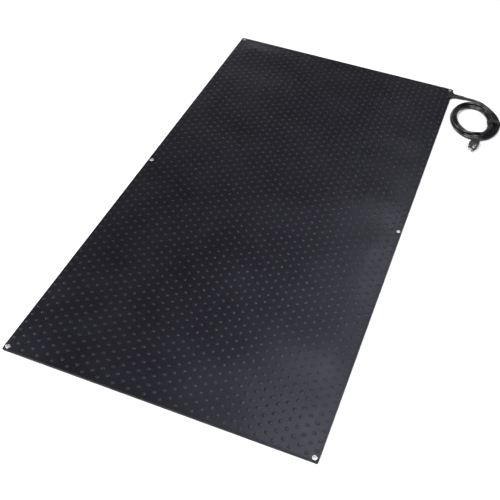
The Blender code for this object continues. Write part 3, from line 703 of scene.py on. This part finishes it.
def close_skin(bm):
    """Rounds the skin's outer edge over and gives it an underside."""
    steps = ((0.00035, FIELD - 0.00006), (0.00064, FIELD - 0.0002), (EDGE_ROUND, SKIN_BOTTOM + 0.0001))
    steps += ((0.00055, SKIN_BOTTOM), (-0.003, SKIN_BOTTOM))
    limit_x, limit_y = HALF_X - EDGE_ROUND, HALF_Y - EDGE_ROUND
    ring = [e for e in bm.edges if e.is_boundary]
    where = {v: v.co.copy() for e in ring for v in e.verts}
    for out, height in steps:
        made = bmesh.ops.extrude_edge_only(bm, edges=ring)["geom"]
        fresh = [g for g in made if isinstance(g, bmesh.types.BMVert)]
        moved = {}
        for vert in fresh:
            start = min(
                (e.other_vert(vert) for e in vert.link_edges if e.other_vert(vert) in where),
                key=lambda v: (v.co - vert.co).length,
            )
            home = where[start]
            x = home.x + (out * math.copysign(1, home.x) if abs(abs(home.x) - limit_x) < 1e-5 else 0.0)
            y = home.y + (out * math.copysign(1, home.y) if abs(abs(home.y) - limit_y) < 1e-5 else 0.0)
            moved[vert] = home
            vert.co = (x, y, height)
        where = moved
        ring = [g for g in made if isinstance(g, bmesh.types.BMEdge)]
        ring = [e for e in ring if e.is_boundary]
    bmesh.ops.holes_fill(bm, edges=ring, sides=0)


def make_mat_top():
    verts, faces, highlight_and_abrasion = skin_surface()
    mesh = bpy.data.meshes.new("mat_top")
    mesh.from_pydata(verts, [], faces)
    mesh.attributes.new("highlight_and_abrasion", "FLOAT", "POINT").data.foreach_set("value", highlight_and_abrasion)
    bm = bmesh.new()
    bm.from_mesh(mesh)
    bmesh.ops.remove_doubles(bm, verts=bm.verts, dist=0.00001)
    close_skin(bm)
    bmesh.ops.recalc_face_normals(bm, faces=bm.faces)
    bm.to_mesh(mesh)
    bm.free()
    place = np.zeros(len(mesh.vertices) * 3)
    mesh.vertices.foreach_get("co", place)
    place = place.reshape(-1, 3)
    upper = place[:, 2] > FIELD - 0.0003
    place[:, 2] += np.where(upper, wave_height(place[:, 0], place[:, 1]), 0.0)
    place[:, 0], place[:, 1] = round_corner(place[:, 0], place[:, 1])
    mesh.vertices.foreach_set("co", place.ravel())
    # The studs' painted highlight, with the rounded edge set high as wear.
    highlight_and_abrasion_values = np.zeros(len(mesh.vertices))
    mesh.attributes["highlight_and_abrasion"].data.foreach_get("value", highlight_and_abrasion_values)
    rim = (place[:, 2] < FIELD - 0.00001) & (place[:, 2] > SKIN_BOTTOM + 0.00015)
    mesh.attributes["highlight_and_abrasion"].data.foreach_set("value", np.where(rim, 0.8, highlight_and_abrasion_values))
    mesh.update()
    top = bpy.data.objects.new("mat_top", mesh)
    bpy.context.scene.collection.objects.link(top)
    cut_eyelet_holes(top, EYELET_HOLE, -CUT_PAST, 0.010)
    top.data.shade_smooth()
    top.data.set_sharp_from_angle(angle=math.radians(50))
    return finish_piece(top, RUBBER, "rubber", "top_sheet")


def cylinder_ring(radius, low, high, x, y, steps=48):
    rings = []
    for z in (low, high):
        turn = [2 * math.pi * i / steps for i in range(steps)]
        rings.append([(x + radius * math.cos(a), y + radius * math.sin(a), z) for a in turn])
    return loft(rings)


def cut_eyelet_holes(piece, radius, low, high):
    verts, faces = [], []
    for x, y in EYELETS:
        new_verts, new_faces = cylinder_ring(radius, low, high, x, y)
        faces += [tuple(i + len(verts) for i in face) for face in new_faces]
        verts += new_verts
    combine(piece, verts, faces, "DIFFERENCE", "MANIFOLD")


# Mat: lower sheet


def mat_ring(inset, height, side_points=10, corner_points=6):
    """A closed outline of the mat's plan, drawn in by an inset."""
    radius = max(CORNER - inset, 0.0004)
    x, y = HALF_X - inset - radius, HALF_Y - inset - radius
    ring = []
    for sx, sy, start in ((1, 1, 0), (-1, 1, 90), (-1, -1, 180), (1, -1, 270)):
        for i in range(corner_points + 1):
            angle = math.radians(start + 90 * i / corner_points)
            ring.append((sx * x + radius * math.cos(angle), sy * y + radius * math.sin(angle), height))
        next_corner = {
            0: (-x, y + radius),
            90: (-x - radius, -y),
            180: (x, -y - radius),
            270: (x + radius, y),
        }
        end = next_corner[start]
        here = ring[-1]
        for i in range(1, side_points):
            share = i / side_points
            ring.append((here[0] + (end[0] - here[0]) * share, here[1] + (end[1] - here[1]) * share, height))
    return ring


def make_mat_base():
    """The lower sheet: a rounded edge, a pressed weld line underneath, and the heating layers' pocket."""
    rim = MAT_HIGH[2]
    outline = (
        (WELD_MARGIN + 0.0016, 0.0),
        (WELD_MARGIN + 0.0010, 0.00022),
        (WELD_MARGIN - 0.0010, 0.00022),
        (WELD_MARGIN - 0.0016, 0.0),
        (0.0009, 0.0),
        (0.00035, 0.0001),
        (0.00008, 0.0004),
        (0.0, 0.0009),
        (0.00004, rim / 2),
        (0.0, rim - 0.0006),
        (0.00012, rim - 0.0002),
        (0.0005, rim),
        (WELD_MARGIN, rim),
        (WELD_MARGIN, BASE_FLOOR),
    )
    base = mesh_object("mat_base", *loft([mat_ring(*row) for row in outline]))
    cut_eyelet_holes(base, EYELET_HOLE, -CUT_PAST, rim + CUT_PAST)
    cut_eyelet_holes(base, WASHER_RECESS, -CUT_PAST, RECESS_TOP)
    base.data.shade_smooth()
    base.data.set_sharp_from_angle(angle=math.radians(40))
    return finish_piece(base, BACKING, "rubber", "base_sheet")


# Eyelets


def arc_points(radius, height, size, start, end, steps):
    turn = [math.radians(start + (end - start) * i / steps) for i in range(steps + 1)]
    return [(radius + size * math.cos(a), height + size * math.sin(a)) for a in turn]


def make_eyelets():
    """A rolled flange on the studded side, a barrel, and its clinched end under a washer."""
    flange = [(0.0036, FIELD - 0.0001), (0.0043, FIELD - 0.0001)]
    flange += arc_points(0.00438, FIELD + 0.00032, 0.00042, -80, 70, 7)
    flange += [(0.0042, FIELD + 0.00086), (0.0039, FIELD + 0.00090)]
    flange += arc_points(0.0035, FIELD + 0.00042, 0.0005, 80, 180, 6)
    profile = [*flange, (0.0030, 0.0006), (0.0031, 0.0002)]
    profile += [(0.0033, 0.0), (0.0039, 0.00002), (0.0042, 0.00022)]
    profile += [(0.00415, 0.0004), (0.0034, 0.00042)]
    washer = [(0.0037, 0.0007), (0.0046, 0.0007), (0.0048, 0.0008), (0.0048, 0.0011), (0.0046, 0.0012)]
    washer += [(0.0039, 0.0012), (0.0037, 0.0011)]
    for number, (x, y) in enumerate(EYELETS, 1):
        place = Matrix.Translation((x, y, 0.0))
        ring = mesh_object(f"eyelet_ring_{number}", *revolve(profile, 72, place), 50)
        finish_piece(ring, NICKEL, "nickel", f"eyelet_{number}")
        backing = mesh_object(f"eyelet_backing_{number}", *revolve(washer, 72, place), 50)
        finish_piece(backing, NICKEL, "nickel", f"eyelet_washer_{number}")


# Mouldings on the cord


def blunt(x, middle_y, middle_z, half_y, half_z, power, steps=56):
    """A ring across X, from round at power 2 to nearly square."""
    ring = []
    for step in range(steps):
        angle = 2 * math.pi * step / steps
        side, up = math.cos(angle), math.sin(angle)
        y = math.copysign(abs(side) ** (2 / power), side) * half_y
        z = math.copysign(abs(up) ** (2 / power), up) * half_z
        ring.append((x, middle_y + y, middle_z + z))
    return ring


def sections(keys, places):
    """Rows of a table read off at other places along it, eased between its own rows."""
    keys = np.array(keys)
    columns = range(1, keys.shape[1])
    return [[x, *(float(np.interp(x, keys[:, 0], keys[:, k])) for k in columns)] for x in places]


def make_relief():
    """The moulding on the mat's edge: a clamp lip, a shoulder, and a taper cut by flex slots."""
    edge = HALF_X + 0.0003
    keys = (
        (0.0000, 0.0, 0.0129, 0.0034, 6.0),
        (0.0006, 0.0, 0.0135, 0.0037, 6.0),
        (0.0024, 0.0, 0.0123, 0.0037, 5.0),
        (0.0047, 0.0001, 0.0091, 0.0038, 4.0),
        (0.0084, 0.0003, 0.0069, 0.0041, 3.2),
        (0.0142, 0.0005, 0.0056, 0.0046, 2.6),
        (0.0240, 0.0009, 0.0050, 0.0046, 2.2),
        (0.0330, 0.0012, 0.0046, 0.0046, 2.0),
        (0.0337, 0.0012, 0.0040, 0.0040, 2.0),
    )
    places = np.linspace(0.0, 0.0337, 136)
    rings = []
    for x, lean, half_y, half_z, power in sections(keys, places):
        slot = 0.0
        if 0.0145 < x < 0.0325:
            slot = 0.00048 * max(0.0, math.cos(2 * math.pi * (x - 0.0165) / 0.0036)) ** 0.5
        height = 0.0001 + half_z
        rings.append(blunt(edge + x, RELIEF_Y + lean, height, half_y - slot, half_z - slot, power))
    relief = mesh_object("relief_moulding", *loft(rings))
    lip = []
    for x, draw in ((0.2965, 0.0009), (0.2967, 0.0004), (0.2971, 0.0001), (0.2978, 0.0), (0.3066, 0.0)):
        lip.append(blunt(x, RELIEF_Y, 0.00625, 0.0129 - draw, 0.00105 - draw * 0.6, 7.0))
    combine(relief, *loft(lip), "UNION")
    relief.data.shade_smooth()
    relief.data.set_sharp_from_angle(angle=math.radians(42))
    return finish_piece(relief, MOULDED, "moulded_pvc", "strain_relief")


PLUG_PLACE = Matrix.Translation(PLUG_NECK) @ Matrix.Rotation(PLUG_HEADING, 4, "Z")


def placed(verts):
    return [PLUG_PLACE @ Vector(v) for v in verts]


def make_plug_body():
    """A moulded plug: a slotted neck, a bell shoulder, ribbed finger grips and a rim round its face."""
    keys = (
        (0.0000, 0.0044, 0.0044, 2.0),
        (0.0004, 0.0049, 0.0049, 2.0),
        (0.0060, 0.0062, 0.0062, 2.0),
        (0.0078, 0.0076, 0.0072, 2.3),
        (0.0100, 0.0094, 0.0084, 2.8),
        (0.0125, 0.0107, 0.0092, 3.4),
        (0.0150, 0.0110, 0.0095, 4.0),
        (0.0165, 0.0107, 0.0095, 4.2),
        (0.0240, 0.0104, 0.0095, 4.4),
        (0.0258, 0.0110, 0.0095, 4.6),
        (0.0298, 0.0110, 0.0095, 5.0),
        (0.0303, 0.0107, 0.0092, 5.0),
        (PLUG_FACE, 0.0102, 0.0087, 5.0),
    )
    places = np.linspace(0.0, PLUG_FACE, 150)
    rings = []
    for x, half_y, half_z, power in sections(keys, places):
        neck = grip = 0.0
        if 0.0009 < x < 0.0062:
            neck = 0.0005 * max(0.0, math.cos(2 * math.pi * (x - 0.0018) / 0.0021)) ** 0.5
        if 0.0166 < x < 0.0240:
            grip = 0.00038 * max(0.0, math.sin(2 * math.pi * (x - 0.0168) / 0.0019))
        rings.append(blunt(x, 0.0, 0.0, half_y - neck - grip, half_z - neck, power, 64))
    rings.append(blunt(PLUG_FACE, 0.0, 0.0, 0.0098, 0.0083, 6.0, 64))
    rings.append(blunt(PLUG_FACE - 0.0011, 0.0, 0.0, 0.0098, 0.0083, 6.0, 64))
    verts, faces = loft(rings)
    body = mesh_object("plug_moulding", placed(verts), faces)
    return finish_piece(body, MOULDED, "moulded_pvc", "plug_body")


def make_plug_face():
    """The plate that holds the blades, with a soft edge."""
    rings = []
    for x, draw in ((-0.0015, 0.0), (-0.0003, 0.0), (-0.00008, 0.0001), (0.0, 0.00035)):
        rings.append(blunt(PLUG_FACE + x, 0.0, 0.0, 0.0095 - draw, 0.0080 - draw, 7.0, 64))
    for draw, x in ((0.0016, 0.0), (0.0019, -0.0002)):
        rings.append(blunt(PLUG_FACE + x, 0.0, 0.0, 0.0095 - draw, 0.0080 - draw, 7.0, 64))
    verts, faces = loft(rings)
    face = mesh_object("plug_face", placed(verts), faces)
    return finish_piece(face, INSERT, "insert", "plug_insert")


def make_blade(name, height, node):
    """A flat blade with a chamfered tip and its round hole."""
    start, end = PLUG_FACE - 0.004, PLUG_FACE + BLADE_LENGTH
    half = BLADE_WIDTH / 2
    outline = [(start, -half), (end - 0.0016, -half), (end - 0.0005, -half + 0.0007), (end, -half + 0.0018)]
    outline += [(x, -y) for x, y in reversed(outline)]
    turn = np.linspace(0, 2 * math.pi, 33)[:-1]
    hole = [(end - BLADE_HOLE_BACK + BLADE_HOLE * math.cos(a), BLADE_HOLE * math.sin(a)) for a in turn]
    curve = bpy.data.curves.new(name, "CURVE")
    curve.dimensions = "2D"
    curve.fill_mode = "BOTH"
    curve.extrude = BLADE_THICKNESS / 2 - BLADE_BEVEL
    curve.bevel_depth = BLADE_BEVEL
    curve.bevel_resolution = 1
    curve.offset = -BLADE_BEVEL
    for points in (outline, hole):
        spline = curve.splines.new("POLY")
        spline.points.add(len(points) - 1)
        spline.use_cyclic_u = True
        for point, place in zip(spline.points, points):
            point.co = (*place, 0.0, 1.0)
    flat = bpy.data.objects.new(name + "_outline", curve)
    bpy.context.scene.collection.objects.link(flat)
    graph = bpy.context.evaluated_depsgraph_get()
    mesh = bpy.data.meshes.new_from_object(flat.evaluated_get(graph))
    bpy.data.objects.remove(flat, do_unlink=True)
    mesh.transform(PLUG_PLACE @ Matrix.Translation((0.0, BLADE_SIDE, height)))
    bm = bmesh.new()
    bm.from_mesh(mesh)
    bmesh.ops.remove_doubles(bm, verts=bm.verts, dist=0.000002)
    bmesh.ops.recalc_face_normals(bm, faces=bm.faces)
    bm.to_mesh(mesh)
    bm.free()
    blade = bpy.data.objects.new(name, mesh)
    bpy.context.scene.collection.objects.link(blade)
    return finish_piece(blade, BLADE, "blade", node)


def make_pin():
    """The round earth pin, with a domed tip."""
    end = PLUG_FACE + PIN_LENGTH
    keys = [(PLUG_FACE - 0.004, PIN_RADIUS), (end - 0.0030, PIN_RADIUS)]
    for step in range(1, 8):
        turn = math.radians(90 * step / 8)
        keys.append((end - 0.0030 + 0.0030 * math.sin(turn), PIN_RADIUS * math.cos(turn) ** 0.8))
    rings = [blunt(x, PIN_SIDE, 0.0, r, r, 2.0, 40) for x, r in keys]
    verts, faces = loft(rings)
    pin = mesh_object("ground_pin", placed(verts), faces)
    return finish_piece(pin, BLADE, "blade", "plug_ground_pin")


# Strap round the coil


def strands_at(v_place):
    """Where the turns on the coil's strapped side cross a line across it, as place and height."""
    u, v = world_to_coil(cord_route[:, 0], cord_route[:, 1])
    crossings = []
    for i in range(len(u) - 1):
        if (v[i] - v_place) * (v[i + 1] - v_place) <= 0 and u[i] > 0 and v[i] != v[i + 1]:
            share = (v_place - v[i]) / (v[i + 1] - v[i])
            height = cord_route[i, 2] + (cord_route[i + 1, 2] - cord_route[i, 2]) * share
            crossings.append((u[i] + (u[i + 1] - u[i]) * share, height))
    return crossings


def wrap(points, reach, steps):
    """The line that a band takes round discs at the points, read off by angle about one middle."""
    middle = np.mean([[p[0] for p in points], [p[1] for p in points]], axis=1)
    turn = np.linspace(0, 2 * math.pi, steps, endpoint=False)
    out = np.stack([np.cos(turn), np.sin(turn)], axis=1)
    support = np.max([out @ (np.array(p) - middle) for p in points], axis=0) + reach
    ring = []
    for angle in turn:
        ray = np.array([math.cos(angle), math.sin(angle)])
        facing = out @ ray
        usable = facing > 0.05
        ring.append(middle + ray * np.min(support[usable] / facing[usable]))
    return np.array(ring)


def make_strap():
    """A hook-and-loop strap round the turns, its two ends pressed together into a fin outside."""
    steps, stations = 96, np.linspace(-STRAP_WIDTH / 2, STRAP_WIDTH / 2, 7)
    inner, outer = [], []
    points = [p for v in stations for p in strands_at(v)]
    inside = wrap(points, CORD_RADIUS + STRAP_ROOM, steps)
    outside = wrap(points, CORD_RADIUS + STRAP_ROOM + STRAP_THICKNESS, steps)
    outside[:, 1] = np.maximum(outside[:, 1], STRAP_ROOM)
    for v in stations:
        inner.append([(*coil_to_world(a, v), b) for a, b in inside])
        outer.append([(*coil_to_world(a, v), b) for a, b in outside])
    rings = [*outer, *inner[::-1]]
    strap = mesh_object("strap_band", *loft(rings, closed=True))
    start = float(outside[:, 0].max()) - STRAP_THICKNESS / 2
    half = STRAP_WIDTH / 2 - 0.0005
    fin = []
    for side in (-1, 1):
        outline = fin_outline(start, half)
        middle = FIN_HEIGHT + side * FIN_THICKNESS / 4
        rings = []
        for lift, draw in ((-1, 0.0004), (-0.6, 0.0), (0.6, 0.0), (1, 0.0004)):
            ring = []
            for a, v in outline:
                droop = -0.0009 * ((a - start) / FIN_LENGTH) ** 2
                shrink = 1 - draw / half
                z = middle + lift * (FIN_THICKNESS / 4 - 0.00004) + droop
                ring.append((*coil_to_world(start + (a - start) * shrink, v * shrink), z))
            rings.append(ring)
        fin.append(loft(rings))
    for verts, faces in fin:
        combine(strap, verts, faces, "UNION")
    strap.data.shade_smooth()
    strap.data.set_sharp_from_angle(angle=math.radians(40))
    return finish_piece(strap, STRAP, "strap", "coil_tie")


def fin_outline(start, half, corner=0.003, steps=5):
    end = start + FIN_LENGTH
    points = [(start, half), (start, -half)]
    for middle_v, first in ((-half + corner, -90), (half - corner, 0)):
        for i in range(steps + 1):
            angle = math.radians(first + 90 * i / steps)
            points.append((end - corner + corner * math.cos(angle), middle_v + corner * math.sin(angle)))
    return points


# Make the pieces

mat_top = make_mat_top()
mat_base = make_mat_base()
make_eyelets()
relief = make_relief()
plug_parts = [make_plug_body(), make_plug_face(), make_pin()]
plug_parts.append(make_blade("blade_live", BLADE_SPACING / 2, "plug_blade_live"))
plug_parts.append(make_blade("blade_neutral", -BLADE_SPACING / 2, "plug_blade_neutral"))
strap_band = make_strap()

finish_piece(power_cord, CORD_PVC, "cord_pvc", "cord_lead", "cord_coil", "cord_tail")
round(route_length(cord_route), 3)

for node, material in (
    ("wire_carrier", SCRIM),
    ("heating_wire", WIRE),
    ("ground_screen", FOIL),
    ("live_lead", LEAD_BLACK),
    ("neutral_lead", LEAD_WHITE),
    ("ground_lead", LEAD_GREEN),
    ("live_splice", TINNED),
    ("neutral_splice", TINNED),
    ("ground_tab", TINNED),
):
    nodes[node].data.materials.clear()
    nodes[node].data.materials.append(material)


# Floor, lights and world


def make_floor():
    """A plain pale floor."""
    material = surface("pale_floor", (0.86, 0.86, 0.86), (0.90, 0.90, 0.90), (0.6, 0.75), 0.004, 0.00002, 0.6)
    radius, steps = FLOOR_RADIUS, FLOOR_STEPS
    turn = [2 * math.pi * i / steps for i in range(steps)]
    mesh = bpy.data.meshes.new("floor")
    verts = [(radius * math.cos(a), radius * math.sin(a), 0.0) for a in turn]
    mesh.from_pydata(verts, [], [tuple(range(steps))])
    mesh.materials.append(material)
    floor = bpy.data.objects.new("floor", mesh)
    floor.location.z = -FLOOR_GAP
    bpy.context.scene.collection.objects.link(floor)


def make_light(name, place, aim, size, power):
    data = bpy.data.lights.new(name, "AREA")
    data.shape = "RECTANGLE"
    data.size, data.size_y = size
    data.energy = power
    lamp = bpy.data.objects.new(name, data)
    lamp.location = place
    lamp.rotation_euler = (Vector(aim) - Vector(place)).to_track_quat("-Z", "Y").to_euler()
    bpy.context.scene.collection.objects.link(lamp)


def make_world():
    """A pale horizon, dimmer above it, so that the mat's gloss comes from the soft lights."""
    world = bpy.data.worlds.new("world")
    world.use_nodes = True
    tree = world.node_tree
    place = tree.nodes.new("ShaderNodeTexCoord").outputs["Generated"]
    split = tree.nodes.new("ShaderNodeSeparateXYZ")
    tree.links.new(place, split.inputs[0])
    ramp = tree.nodes.new("ShaderNodeValToRGB")
    ramp.color_ramp.elements[0].position = 0.0
    ramp.color_ramp.elements[0].color = (0.92, 0.92, 0.93, 1.0)
    for spot, level in ((0.10, 0.72), (0.24, 0.26), (0.36, 0.10)):
        ramp.color_ramp.elements.new(spot).color = (level, level, level * 1.06, 1.0)
    ramp.color_ramp.elements[-1].position = 0.95
    ramp.color_ramp.elements[-1].color = (0.16, 0.16, 0.17, 1.0)
    tree.links.new(split.outputs["Z"], ramp.inputs["Fac"])
    tree.links.new(ramp.outputs["Color"], tree.nodes["Background"].inputs["Color"])
    tree.nodes["Background"].inputs["Strength"].default_value = 1.0
    bpy.context.scene.world = world


make_floor()
make_world()
for row in LIGHTS:
    make_light(*row)
bpy.context.scene.view_settings.view_transform = "Standard"
